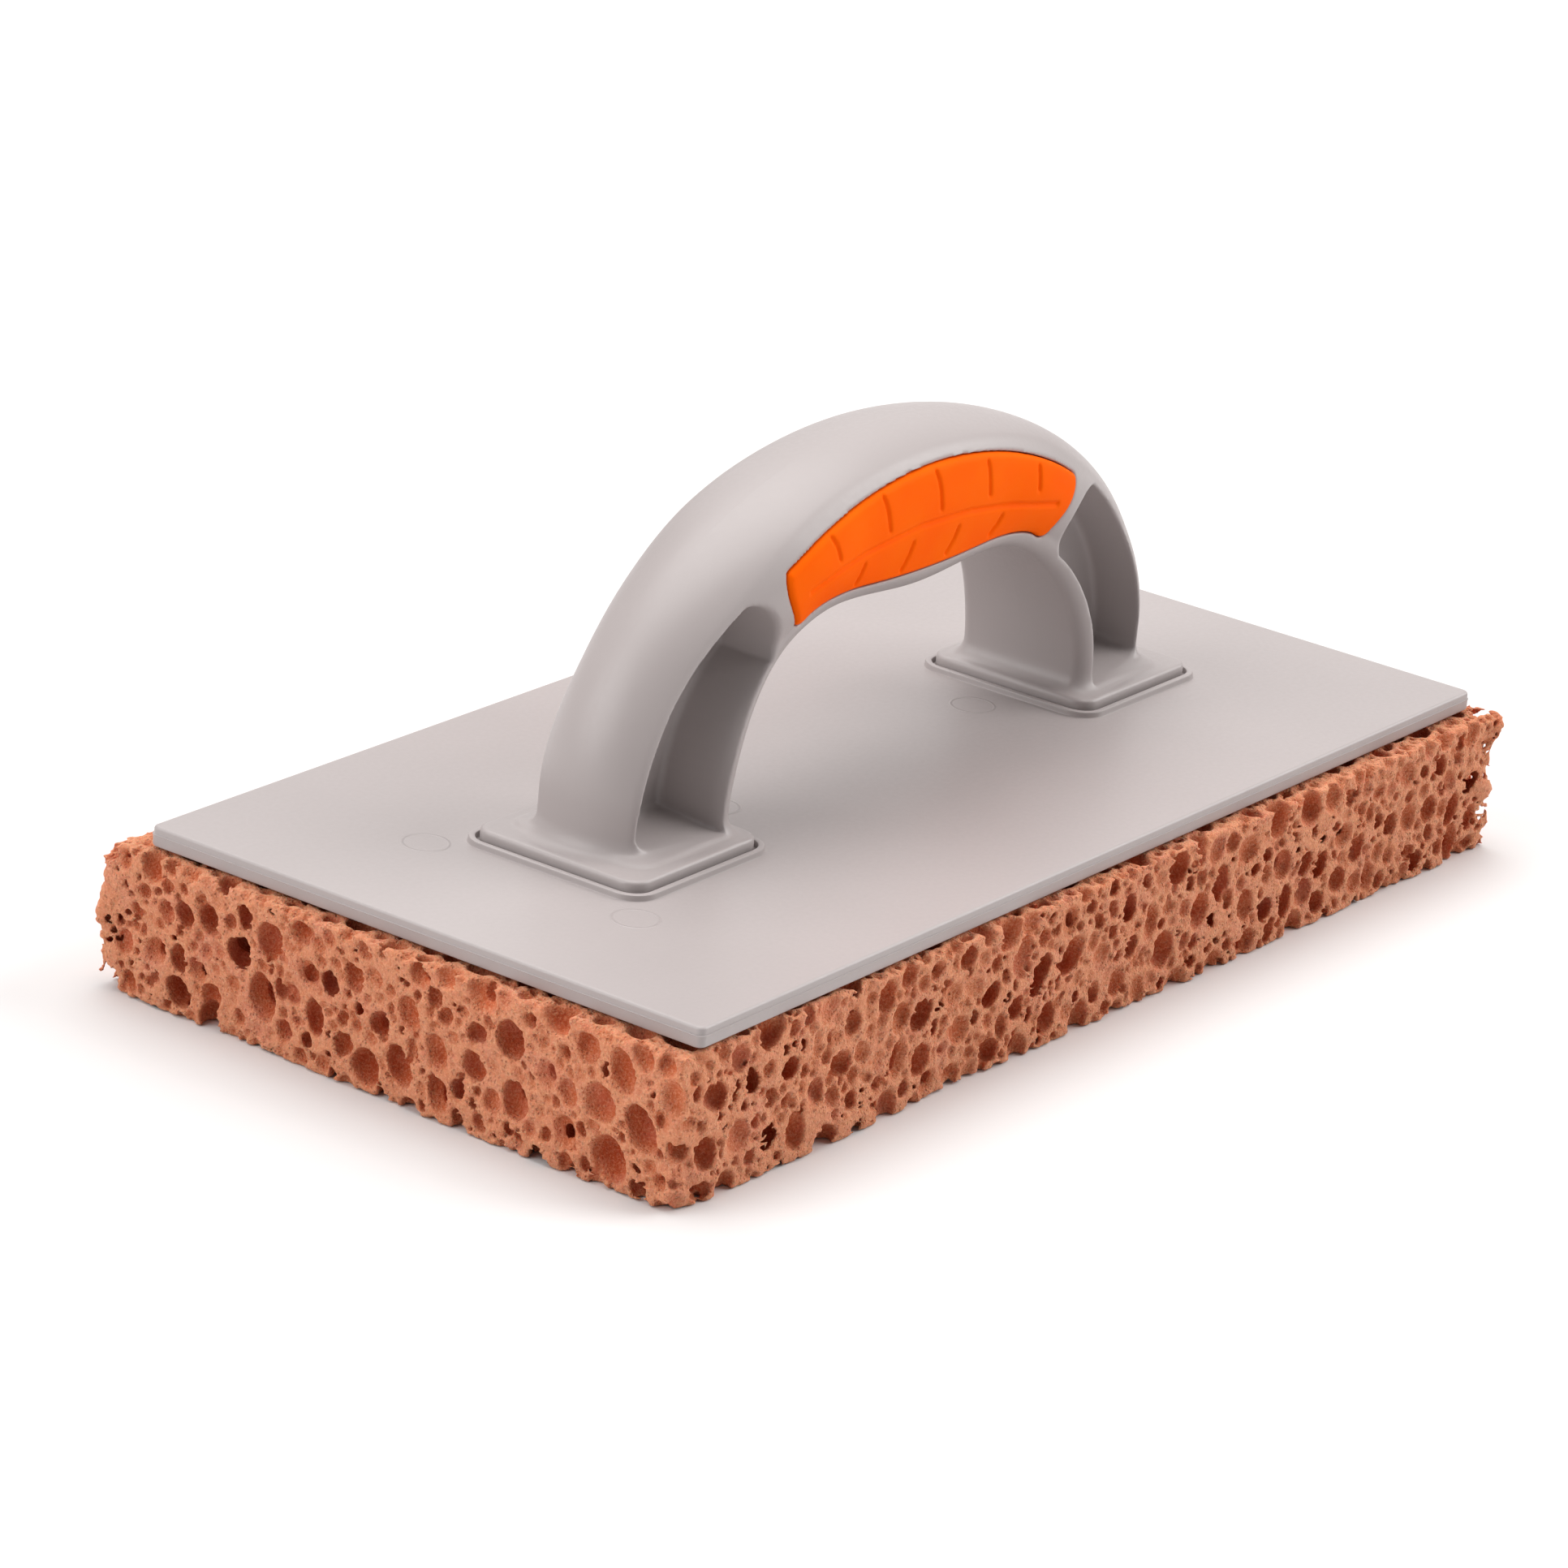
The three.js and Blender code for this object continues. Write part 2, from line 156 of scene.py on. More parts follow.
def skin_of(field, origin, step, settle=2):
    """Quads of a field's zero surface, as (points in mm, faces), with the points drawn onto it."""
    grid = openvdb.FloatGrid(float(field.max()))
    grid.copyFromArray(np.ascontiguousarray(field, dtype=np.float32))
    points, quads = grid.convertToQuads(0.0)
    points = points.astype(float)
    for _ in range(settle):
        value = sample(field, points)
        slope = np.stack(
            [sample(field, points + d) - sample(field, points - d) for d in np.eye(3) * 0.5], axis=1
        )
        size = np.maximum((slope**2).sum(1), 0.05 * step * step)
        move = -(value / size)[:, None] * slope
        reach = np.linalg.norm(move, axis=1, keepdims=True)
        points += move * np.minimum(1, 0.5 / np.maximum(reach, 1e-9))
    a, b, c = (points[quads[:, i]] for i in (0, 1, 2))
    d = points[quads[:, 3]]
    volume = (np.cross(a, b) * c).sum() + (np.cross(a, c) * d).sum()
    if volume < 0:
        quads = quads[:, ::-1]
    return points * step + np.array(origin), quads


# ------------------------------------------------------------------ the arched handle
CROWN = {"reach": 90.3, "rise": 58, "base": 12}  # the outer curve: an ellipse above straight legs
GRIP = {"half": 24.3, "corner": 35.2, "base": 5.5, "sag": 1.4}  # the hand opening
HUB = 4.5  # height of the point that the arch's angles are measured at
FOOT_X = 75.6
POCKET = {"floor": 4.3, "corner": 4.5, "reach": 86.2, "rise": 55.7, "base": 7.6, "top": 60.0, "draft": 0.17}
PAD = {"reach": 49, "top": 64.6, "shoulder": 51.8, "bottom": 40.6, "foot": 42.3, "proud": 0.5, "seat": 12.2}
PAD_GAP = 0.18
PAD_ROUND = 1.3
PEG = {"x": 20, "z": 53, "radius": 2.2, "length": 6}
WEB = 3.2
BOSS = {"radius": 3.4, "height": 9}
UNDER_EDGE = {"deep": 5.0, "wide": 2.9}  # the round edge between a side and the hand opening
SCREW_HOLE = {"radius": 2.1, "depth": 7.2, "sunk_radius": 4.4, "sunk_floor": -1.6}


def opening_distance(x, z):
    """Distance from the hand opening, positive in the handle."""
    x = np.abs(x)
    dip = np.cos(np.pi * np.minimum(x, GRIP["half"]) / (2 * GRIP["half"]))
    under = z - (GRIP["base"] + GRIP["corner"] - GRIP["sag"] * dip**2)
    out = x - GRIP["half"]
    round_corner = np.hypot(np.maximum(out, 0), np.maximum(z - GRIP["base"], 0)) - GRIP["corner"]
    return np.where(out < 0, under, round_corner)


def outer_reach(angle):
    """How far the outer curve is from the hub, at angles up from the plate."""
    c, s = np.cos(angle), np.sin(angle)
    low = HUB - CROWN["base"]
    a = (c / CROWN["reach"]) ** 2 + (s / CROWN["rise"]) ** 2
    b = 2 * low * s / CROWN["rise"] ** 2
    d = (low / CROWN["rise"]) ** 2 - 1
    reach = (-b + np.sqrt(b * b - 4 * a * d)) / (2 * a)
    straight = CROWN["reach"] / np.maximum(np.abs(c), 1e-6)
    return np.where(HUB + reach * s < CROWN["base"], straight, reach)


def inner_reach(angle):
    """How far the hand opening goes from the hub, found by halving."""
    near, far = np.zeros_like(angle), np.full_like(angle, 80.0)
    for _ in range(40):
        middle = (near + far) / 2
        free = opening_distance(middle * np.cos(angle), HUB + middle * np.sin(angle)) < 0
        near, far = np.where(free, middle, near), np.where(free, far, middle)
    return near


def handle_skin(x, y, z):
    """Field of the arch without pockets. x is not negative.

    A section fans out from the hub at each angle: a crown bowed to an arc, sides that widen
    downwards to the opening, and a round edge under them.
    """
    deep, wide = UNDER_EDGE["deep"], UNDER_EDGE["wide"]
    rise = np.maximum(z - HUB, 0)
    angle = np.arctan2(rise, np.maximum(x, 1e-6))
    table = np.linspace(0, np.pi / 2, 721)
    outer = np.interp(angle, table, outer_reach(table))
    inner = np.interp(angle, table, inner_reach(table))
    depth = outer - np.hypot(x, rise)
    total = outer - inner
    degrees = np.degrees(angle)
    shoulder, grip = ease(degrees, 4, 24), ease(degrees, 34, 62)
    crown_half = blend(11.8, 14.8, ease(degrees, 18, 52))
    crown_drop = blend(blend(4.1, 6.4, shoulder), 4.4, grip)
    inner_half = blend(blend(15.6, 13.6, ease(degrees, 8, 38)), 14.0, grip)
    barrel = 0.8 * ease(degrees, 26, 40) + 0.9 * ease(degrees, 26, 38) * (1 - ease(degrees, 50, 66))
    radius = (crown_half**2 + crown_drop**2) / (2 * crown_drop)
    sweep = np.arcsin(np.minimum(1, crown_half / radius))
    arc = np.hypot(radius - depth, y) - radius
    beyond = (np.abs(y) - crown_half) * np.sin(sweep) - (depth - crown_drop) * np.cos(sweep)
    crown = np.where(np.arctan2(np.abs(y), radius - depth) <= sweep, arc, beyond)
    t = np.clip((depth - crown_drop) / np.maximum(total - deep - crown_drop, 1), 0, 1)
    side = blend(crown_half, inner_half, t) + barrel * 4 * t * (1 - t)
    under = opening_distance(x, z)
    u, v = (deep - under) / deep, (np.abs(y) - (side - wide)) / wide
    reach = np.maximum(np.hypot(u, v), 1e-6)
    slope = np.sqrt((u / deep) ** 2 + (v / wide) ** 2) / reach
    corner = (reach - 1) / np.maximum(slope, 1e-6)
    flat = np.maximum(-under, np.abs(y) - side)
    inner_part = np.where((u > 0) & (v > 0), corner, flat)
    edge = blend(1.0, 3.6, ease(degrees, 30, 62))
    return smooth_max(crown, inner_part, edge)


def pocket_inner_x(height):
    """The pocket's inner wall, one even thickness from the hand opening's round corner."""
    return 28.8 + math.sqrt(35.0**2 - (height - 6) ** 2)


def pocket_outline():
    """The mouth of the pocket at the right, in x and z."""
    floor, corner, reach, rise, base = (POCKET[k] for k in ("floor", "corner", "reach", "rise", "base"))
    points = [(reach, base)]
    last, steps = math.acos(POCKET["top"] / reach), 24
    for i in range(1, steps + 1):
        turn = last * i / steps
        points.append((reach * math.cos(turn), base + rise * math.sin(turn)))
    tip, wall_top = (49.2, 40.2), 34.5
    points += bezier(points[-1], (57.0, 49.4), (51.2, 45.6), tip, steps=14)
    points += bezier(tip, (48.2, 37.4), (pocket_inner_x(wall_top), wall_top), steps=7)
    points += [(pocket_inner_x(h), h) for h in np.linspace(wall_top, floor, 17)[1:]]
    points.append((reach - corner, floor))
    points += bezier(points[-1], (reach, floor), (reach, base), steps=6)
    return points[:-1]


def pad_outline(grow=0.0):
    """A grip pad's outline in x and z, grown outwards by a distance."""
    reach, top, shoulder, bottom, foot = (PAD[k] for k in ("reach", "top", "shoulder", "bottom", "foot"))
    low, g = GRIP["base"] + GRIP["corner"], grow
    runs = [
        [(-reach - g, shoulder), (-34, 60.9 + g), (-16, top + g), (0, top + g)],
        [(0, top + g), (16, top + g), (34, 60.9 + g), (reach + g, shoulder)],
        [(reach + g, shoulder), (reach + 0.4 + g, shoulder - 2.4), (foot + 4.4 + g, 46)],
        [(foot + 4.4 + g, 46), (foot + 1.2 + g, bottom + 0.4 - g)],
        [(foot + 1.2 + g, bottom + 0.4 - g), (foot, bottom - 1 - g), (foot - 3, bottom + 0.9 - g)],
        [(foot - 3, bottom + 0.9 - g), (34, low + 3.2 - g), (26, low + 3.4 - g), (20, low + 3 - g)],
        [(20, low + 3 - g), (8, low + 2.1 - g), (-8, low + 2.1 - g), (-20, low + 3 - g)],
        [(-20, low + 3 - g), (-26, low + 3.4 - g), (-34, low + 3.2 - g), (3 - foot, bottom + 0.9 - g)],
        [(3 - foot, bottom + 0.9 - g), (-foot, bottom - 1 - g), (-foot - 1.2 - g, bottom + 0.4 - g)],
        [(-foot - 1.2 - g, bottom + 0.4 - g), (-foot - 4.4 - g, 46)],
        [(-foot - 4.4 - g, 46), (-reach - 0.4 - g, shoulder - 2.4), (-reach - g, shoulder)],
    ]
    return [p for run in runs for p in bezier(*run, steps=12 if len(run) > 3 else 5)]


def grid_axes(low, high, step):
    """The coordinates of a grid between two corners, with one of its planes at 0."""
    return [np.arange(round(a / step), round(b / step) + 1) * step for a, b in zip(low, high)]


def make_handle():
    step = 0.45
    xs, ys, zs = grid_axes((0, 0, -0.9), (97.2, 22.5, 72), step)
    x, y, z = np.meshgrid(xs, ys, zs, indexing="ij")
    body = handle_skin(x, y, z)
    foot = rounded_box(x, y, z, half=(19.7, 19.7, 1.55), centre=(FOOT_X, 0, 1.55), corner=4.0, edge=0.8)
    step_up = rounded_box(x, y, z, half=(15.4, 16.3, 1.85), centre=(74, 0, 1.85), corner=5.0, edge=0.9)
    body = smooth_min(body, foot, 4.2)
    body = smooth_min(body, step_up, 1.2)
    side_x, side_z = x[:, 0, :], z[:, 0, :]
    pocket = polygon_distance(side_x, side_z, pocket_outline())[:, None, :]
    pocket = pocket + POCKET["draft"] * np.maximum(15 - y, 0)
    pocket = smooth_max(pocket, WEB / 2 - y, 1.4)
    lip = 0.5 + 0.8 * ease(-x, -58.5, -54) * ease(z, 31, 38)
    body = smooth_max(body, -pocket, lip)
    boss = np.maximum(np.hypot(x - FOOT_X, y) - BOSS["radius"], z - BOSS["height"])
    body = smooth_min(body, boss, 1.6)
    seat = PAD["seat"] - PAD_GAP
    recess = polygon_distance(side_x, side_z, pad_outline(-PAD_ROUND))[:, None, :] - PAD_ROUND - PAD_GAP
    body = smooth_max(body, -np.maximum(recess, seat - y), 0.5)
    peg = np.maximum(np.hypot(x - PEG["x"], z - PEG["z"]) - PEG["radius"] - PAD_GAP, seat - PEG["length"] - y)
    body = np.maximum(body, -peg)
    screw = np.maximum(np.hypot(x - FOOT_X, y) - SCREW_HOLE["radius"], z - SCREW_HOLE["depth"])
    body = np.maximum(body, -screw)
    body = np.maximum(body, -z)
    # The field so far is one quarter: the other three are its mirror images.
    body = np.concatenate([body[:0:-1], body], axis=0)
    body = np.concatenate([body[:, :0:-1], body], axis=1)
    points, quads = skin_of(body, (-xs[-1], -ys[-1], zs[0]), step)
    return mesh_object("handle_shell", points, quads, TO_TOP)


GROOVES = [  # lines pressed into a pad, in x and z: a long one, then short ones above and below it
    [(-41.9, 47.8), (-34, 49.8), (-24.4, 51.4), (-5.8, 53.2), (10.7, 52.8), (25.5, 51.0), (42.0, 47.9)],
    [(-36.4, 57.3), (-34.8, 55.2), (-33.5, 52.5)],
    [(-19.4, 61.7), (-17.8, 58.4), (-16.4, 54.5)],
    [(-1.8, 63.3), (-0.2, 59.4), (0.8, 55.3)],
    [(16.1, 61.8), (16.9, 58.4), (17.6, 54.8)],
    [(34.2, 57.4), (34.4, 52.5)],
    [(-23.6, 49.1), (-24.1, 47.6), (-25.1, 45.4)],
    [(-7.4, 50.1), (-8.2, 47.4), (-9.7, 44.7)],
    [(8.0, 50.1), (7.1, 47.6), (5.4, 45.1)],
    [(23.2, 49.2), (22.1, 47.5), (20.4, 45.8)],
]


def make_pad(name, node, turn):
    step = 0.3
    xs, ys, zs = grid_axes((-51, -17.7, 38.7), (51, -5.7, 66.3), step)
    x, y, z = np.meshgrid(xs, ys, zs, indexing="ij")
    side_x, side_z = x[:, 0, :], z[:, 0, :]
    outline = polygon_distance(side_x, side_z, pad_outline(-PAD_ROUND))[:, None, :] - PAD_ROUND
    cut = np.zeros(side_x.shape)
    for i, points in enumerate(GROOVES):
        width = 0.46 if i else 0.5
        cut = np.maximum(cut, np.exp(-((line_distance(side_x, side_z, points) / width) ** 2)))
    groove_depth = 0.6
    skin = handle_skin(np.abs(x), y, z) - PAD["proud"] + groove_depth * cut[:, None, :]
    body = smooth_max(outline, skin, 1.3)
    body = np.maximum(body, y + PAD["seat"])
    for px in (-PEG["x"], PEG["x"]):
        peg = np.hypot(x - px, z - PEG["z"]) - PEG["radius"]
        inner_end = PEG["length"] - PAD["seat"]
        body = np.minimum(body, np.maximum(peg, np.maximum(y - inner_end, -1 - PAD["seat"] - y)))
    points, quads = skin_of(body, (xs[0], ys[0], zs[0]), step)
    made = mesh_object(name, points, quads, TO_TOP @ Matrix.Rotation(turn, 4, "Z"))
    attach(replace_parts(made, node), "root")
    return made


# ------------------------------------------------------------------ the plate
def ring(half_x, half_y, radius, z, steps=7):
    """A level loop of points: a rectangle with round corners."""
    points = []
    for k, (sx, sy) in enumerate([(1, 1), (-1, 1), (-1, -1), (1, -1)]):
        for i in range(steps + 1):
            a = math.pi / 2 * (k + i / steps)
            x = sx * (half_x - radius) + radius * math.cos(a)
            points.append((x, sy * (half_y - radius) + radius * math.sin(a), z))
    return points


def lofted(bm, loops, close=False):
    """Walls from loop to loop, closed back to the first loop or capped at both ends."""
    rows = [[bm.verts.new(p) for p in loop] for loop in loops]
    pairs = list(zip(rows, rows[1:] + (rows[:1] if close else [])))
    for a, b in pairs:
        for i in range(len(a)):
            j = (i + 1) % len(a)
            bm.faces.new((a[i], a[j], b[j], b[i]))
    if not close:
        bm.faces.new(rows[0][::-1])
        bm.faces.new(rows[-1])


def object_from(bm, name):
    mesh = bpy.data.meshes.new(name)
    bmesh.ops.recalc_face_normals(bm, faces=bm.faces)
    bm.to_mesh(mesh)
    bm.free()
    made = bpy.data.objects.new(name, mesh)
    SCENE.collection.objects.link(made)
    return made


def apply_modifiers(made):
    bpy.context.view_layer.update()
    graph = bpy.context.evaluated_depsgraph_get()
    mesh = bpy.data.meshes.new_from_object(made.evaluated_get(graph))
    made.modifiers.clear()
    made.data = mesh


def sharpen(made, angle=0.6):
    """Smooth shading with creases where faces turn by more than an angle."""
    bm = bmesh.new()
    bm.from_mesh(made.data)
    for e in bm.edges:
        e.smooth = len(e.link_faces) == 2 and e.calc_face_angle(0) < angle
    for f in bm.faces:
        f.smooth = True
    bm.to_mesh(made.data)
    bm.free()
    weighted = made.modifiers.new("weighted", "WEIGHTED_NORMAL")
    weighted.keep_sharp = True
    weighted.weight = 100


def foot_rim(side):
    """The raised rim round one foot."""
    inner, outer, low, high = 20.3, 21.7, -1.2, 1.3
    section = [(inner, low), (inner, 0.95), (inner + 0.12, 1.18), (inner + 0.36, high), (outer - 0.36, high),
               (outer - 0.12, 1.18), (outer, 0.95), (outer + 0.04, 0.3), (outer + 0.16, 0.1),
               (outer + 0.5, -0.02), (outer + 0.5, low)]
    bm = bmesh.new()
    lofted(bm, [ring(r, r, 4.1 + (r - inner), z, 8) for r, z in section], close=True)
    rim = object_from(bm, f"rim_{side}")
    rim.data.transform(Matrix.Translation((side * FOOT_X, 0, 0)))
    return rim


def screw_cutter(side):
    """The stepped hole for one handle screw."""
    wide, narrow, step = SCREW_HOLE["sunk_radius"], SCREW_HOLE["radius"], SCREW_HOLE["sunk_floor"]
    turns = np.linspace(0, 2 * math.pi, 33)[:-1]
    bm = bmesh.new()
    lofted(bm, [[(side * FOOT_X + r * math.cos(a), r * math.sin(a), z) for a in turns]
                for r, z in [(wide, -5.0), (wide, step), (narrow, step), (narrow, 1.0)]])
    return object_from(bm, f"hole_{side}")


def make_plate():
    half_x, half_y = (PLATE_HIGH.x - PLATE_LOW.x) / 2 / MM, (PLATE_HIGH.y - PLATE_LOW.y) / 2 / MM
    # Inset and height of each loop, from the underside up over the rounded edge.
    profile = [(0.5, -4.0), (0.15, -3.87), (0.0, -3.5), (0.0, -1.9), (-0.1, -1.72), (-0.1, -1.6), (0.12, -1.5),
               (0.14, -0.55), (0.2, -0.36), (0.34, -0.16), (0.55, -0.04), (0.85, 0.0)]
    bm = bmesh.new()
    lofted(bm, [ring(half_x - d, half_y - d, 1.6 - d * 0.6, z) for d, z in profile])
    plate = object_from(bm, "backing_plate_shell")
    rims = [foot_rim(side) for side in (-1, 1)]
    tools = rims + [screw_cutter(side) for side in (-1, 1)]
    for i, tool in enumerate(tools):
        cut = plate.modifiers.new(f"join{i}", "BOOLEAN")
        cut.solver = "EXACT"
        cut.operation = "UNION" if tool in rims else "DIFFERENCE"
        cut.object = tool
    apply_modifiers(plate)
    for tool in tools:
        bpy.data.objects.remove(tool)
    plate.data.transform(TO_TOP)
    sharpen(plate)
    return plate


# ------------------------------------------------------------------ the sponge
SPONGE_HALF = (139.9, 69.6)
SPONGE_SHIFT = (-0.5, -0.6)
SPONGE_TURN = math.radians(-1.0)  # glued on a little askew


def wavy(shape, step, size, seed):
    """Smooth noise of about -1 to 1 over a grid, with waves of about a size in mm."""
    rng = np.random.default_rng(seed)
    counts = [max(4, int(n * step / size) + 4) for n in shape]
    field = rng.uniform(-1, 1, counts).astype(np.float32)
    for axis, (n, c) in enumerate(zip(shape, counts)):
        at = np.linspace(1, c - 2.001, n)
        base, f = at.astype(int), at - at.astype(int)
        f2, f3 = f * f, f * f * f
        weights = [(1 - f) ** 3 / 6, (3 * f3 - 6 * f2 + 4) / 6, (-3 * f3 + 3 * f2 + 3 * f + 1) / 6, f3 / 6]
        matrix = np.zeros((n, c), np.float32)
        for k, w in enumerate(weights):
            matrix[np.arange(n), np.clip(base - 1 + k, 0, c - 1)] += w
        field = np.moveaxis(np.tensordot(matrix, field, axes=(1, axis)), 0, axis)
    return field * 2.2


class Pores:
    """Bubbles cut into a block: each is an ellipsoid pulled out of shape by a shared warp."""

    def __init__(self, low, high, step, reach):
        self.step, self.low = step, np.array(low, float)
        self.axes = [np.arange(int(round((b - a) / step)) + 1) * step + a for a, b in zip(low, high)]
        self.shape = tuple(len(a) for a in self.axes)
        self.field = np.full(self.shape, reach, np.float32)
        self.warp = [wavy(self.shape, step, 5.0, 11 + i) * 0.55 + wavy(self.shape, step, 2.2, 21 + i) * 0.25
                     for i in range(3)]

    def value(self, at):
        i = [int(np.clip(round((p - a) / self.step), 0, n - 1)) for p, a, n in zip(at, self.low, self.shape)]
        return self.field[tuple(i)]

    def carve(self, at, radii, turn, reach):
        span = max(radii) + reach
        slices, local = [], []
        for k in range(3):
            a = int(np.clip((at[k] - span - self.low[k]) / self.step, 0, self.shape[k]))
            b = int(np.clip((at[k] + span - self.low[k]) / self.step + 2, 0, self.shape[k]))
            if b <= a:
                return
            slices.append(slice(a, b))
            local.append(self.axes[k][a:b] - at[k])
        slices = tuple(slices)
        px, py, pz = np.meshgrid(*local, indexing="ij", sparse=True)
        p = [v + w[slices] for v, w in zip((px, py, pz), self.warp)]
        q = [turn[0, i] * p[0] + turn[1, i] * p[1] + turn[2, i] * p[2] for i in range(3)]
        unit = [v / r for v, r in zip(q, radii)]
        near = np.sqrt(unit[0] ** 2 + unit[1] ** 2 + unit[2] ** 2)
        slope = np.sqrt(sum((u / r) ** 2 for u, r in zip(unit, radii)))
        distance = near * (near - 1) / np.maximum(slope, 1e-6)
        self.field[slices] = np.minimum(self.field[slices], distance)


def turn_to(direction, spin):
    """Axes, as columns, whose third points along a direction."""
    up = np.array(direction, float)
    up /= np.linalg.norm(up)
    side = np.cross(up, (math.cos(spin), math.sin(spin), 0.1))
    side /= np.linalg.norm(side)
    return np.stack([side, np.cross(up, side), up], axis=1)


PORE_STAGES = [  # tries, least and greatest radius, wall left between pores, depth in radii, reach
    (4200, 2.1, 4.3, (1.0, 3.0), (-0.3, 0.5), 3.6),
    (18000, 1.25, 2.3, (0.6, 1.8), (-0.35, 0.6), 2.6),
    (38000, 0.65, 1.3, (0.3, 1.2), (-0.3, 0.65), 1.6),
    (26000, 0.42, 0.7, (0.25, 1.0), (-0.2, 0.6), 1.0),
]


def pore_place(rng, half, thick, share, size, depths):
    """A random place near one of the six faces of the block, and the way into the block there."""
    face = rng.choice(6, p=share)
    axis, sign = face // 2, 1 if face % 2 else -1
    sunk = size * rng.uniform(*depths)
    at = [rng.uniform(-half[0], half[0]), rng.uniform(-half[1], half[1]), rng.uniform(0.5, thick)]
    if axis < 2:
        at[axis] = sign * (half[axis] - sunk)
    else:
        at[2] = thick - sunk if sign > 0 else sunk * 1.3
        if sign > 0:  # only the rim beyond the plate
            side = 0 if rng.random() < half[1] / (half[0] + half[1]) else 1
            at[side] = rng.choice([-1, 1]) * (half[side] - rng.uniform(0, 9))
    inward = np.zeros(3)
    inward[axis] = -sign
    return np.array(at), axis, inward


def fill_pores(pores, half, thick, rng):
    """Large pores first, then ever smaller ones in what is left between them."""
    length, width = 2 * half[0], 2 * half[1]
    share = np.array([width * thick] * 2 + [length * thick] * 2 + [length * width * 0.7, (length + width) * 18])
    share /= share.sum()
    for tries, least, most, wall, depths, reach in PORE_STAGES:
        for _ in range(tries):
            size = least + (most - least) * rng.random() ** 1.7
            at, axis, inward = pore_place(rng, half, thick, share, size, depths)
            long_side = axis == 1
            if long_side:
                size = least + (size - least) * 0.45
            size = min(size, pores.value(at) - rng.uniform(*wall))
            if size < least * 0.85:
                continue
            end = ease(abs(at[0]), half[0] - 20, half[0] - 6)
            lean = (0.16 + rng.normal(0, 0.16), -0.5 * end * np.sign(at[0]) + rng.normal(0, 0.16), 1)
            tall = 1.0 + rng.gamma(3.0, 0.12) + (0.1 if long_side else 0.0)
            squeeze = rng.uniform(0.85, 1.12) * (0.8 if long_side else 1.0)
            radii = (size * squeeze, size / squeeze, size * tall)
            pores.carve(at, radii, turn_to(lean, rng.uniform(0, 0.6)), reach)
            if size > 1.3 and rng.random() < 0.55:
                deeper = at + inward * size * rng.uniform(0.8, 1.4) + rng.normal(0, 0.3, 3) * size
                small = size * rng.uniform(0.4, 0.75)
                pores.carve(deeper, (small, small, small * tall), turn_to(lean, 0), reach)


def lace_corners(pores, half, thick, rng):
    """Two upright edges are torn to a lace of see-through pores."""
    for sx, sy in ((-1, 1), (1, -1)):
        for least, most, depth in ((1.8, 3.2, 0.8), (0.9, 1.6, 1.4), (0.8, 1.4, 2.6)):
            z = rng.uniform(1, 4)
            while z < thick - 1:
                size = rng.uniform(least, most)
                inset = size * depth * rng.uniform(0.8, 1.15)
                at = (sx * (half[0] - inset), sy * (half[1] - inset - rng.uniform(0, 1.5)), z)
                pores.carve(at, (size, size, size * rng.uniform(1.0, 1.4)), np.eye(3), 2.5)
                z += size * 2 + rng.uniform(0.4, 1.8)


def reach_from(start, through, most):
    """The cells of a grid that can be reached from start without leaving through."""
    found = start & through
    for _ in range(most):
        grown = found.copy()
        for axis in range(3):
            low = [slice(None)] * 3
            high = [slice(None)] * 3
            low[axis], high[axis] = slice(None, -1), slice(1, None)
            grown[tuple(low)] |= found[tuple(high)]
            grown[tuple(high)] |= found[tuple(low)]
        grown &= through
        if (grown == found).all():
            break
        found = grown
    return found


def sponge_block_field(axes, shape, step, half, thick):
    """The cut block: ragged sides and edges, flat where the plate is glued on."""
    x, y, z = np.meshgrid(*axes, indexing="ij", sparse=True)
    beyond = np.maximum(np.abs(x) - (half[0] - 9), np.abs(y) - (half[1] - 9))
    covered = ease(-beyond, 0, 3) * ease(z, thick - 6, thick - 2)
    corner = ease(np.abs(x), half[0] - 16, half[0]) * ease(np.abs(y), half[1] - 16, half[1])
    lump = wavy(shape, step, 11.0, 41) * 0.5 + wavy(shape, step, 3.6, 42) * (0.3 + 0.7 * corner)
    edge = 1.0
    qx, qy = np.abs(x) - (half[0] - edge), np.abs(y) - (half[1] - edge)
    qz = np.maximum(edge - z, z - (thick - edge * (1 - ease(-beyond, 0, 3))))
    side = np.hypot(np.maximum(qx, 0), np.maximum(qy, 0))
    block = np.hypot(side, np.maximum(qz, 0)) + np.minimum(np.maximum(np.maximum(qx, qy), qz), 0) - edge
    block = block - 0.4 + lump * (1 - covered)
    pressed = thick - 0.45 * np.maximum(y - (half[1] - 4.5), 0)
    block = np.maximum(block, z - pressed)
    return np.maximum(block, z - thick).astype(np.float32), covered, z


def fuzz_field(shape):
    """Fine noise, softened along x and y: the torn fibres on the open faces."""
    fuzz = np.random.default_rng(5).uniform(-1, 1, shape).astype(np.float32)
    fuzz[1:-1] = (fuzz[:-2] + 2 * fuzz[1:-1] + fuzz[2:]) / 4
    fuzz[:, 1:-1] = (fuzz[:, :-2] + 2 * fuzz[:, 1:-1] + fuzz[:, 2:]) / 4
    return fuzz


def one_piece(body, deep):
    """The field without loose crumbs round it and without closed voids in it."""
    core_depth, least = 11, 0.02
    solid = body < 0
    solid = reach_from(solid & (deep > core_depth), solid, 90)
    outside = np.zeros(body.shape, bool)
    for axis in range(3):
        for end in (0, -1):
            outside[tuple(end if k == axis else slice(None) for k in range(3))] = True
    empty = reach_from(outside, ~solid, 70)
    return np.where(solid | ~empty, np.minimum(body, -least), np.maximum(body, least))


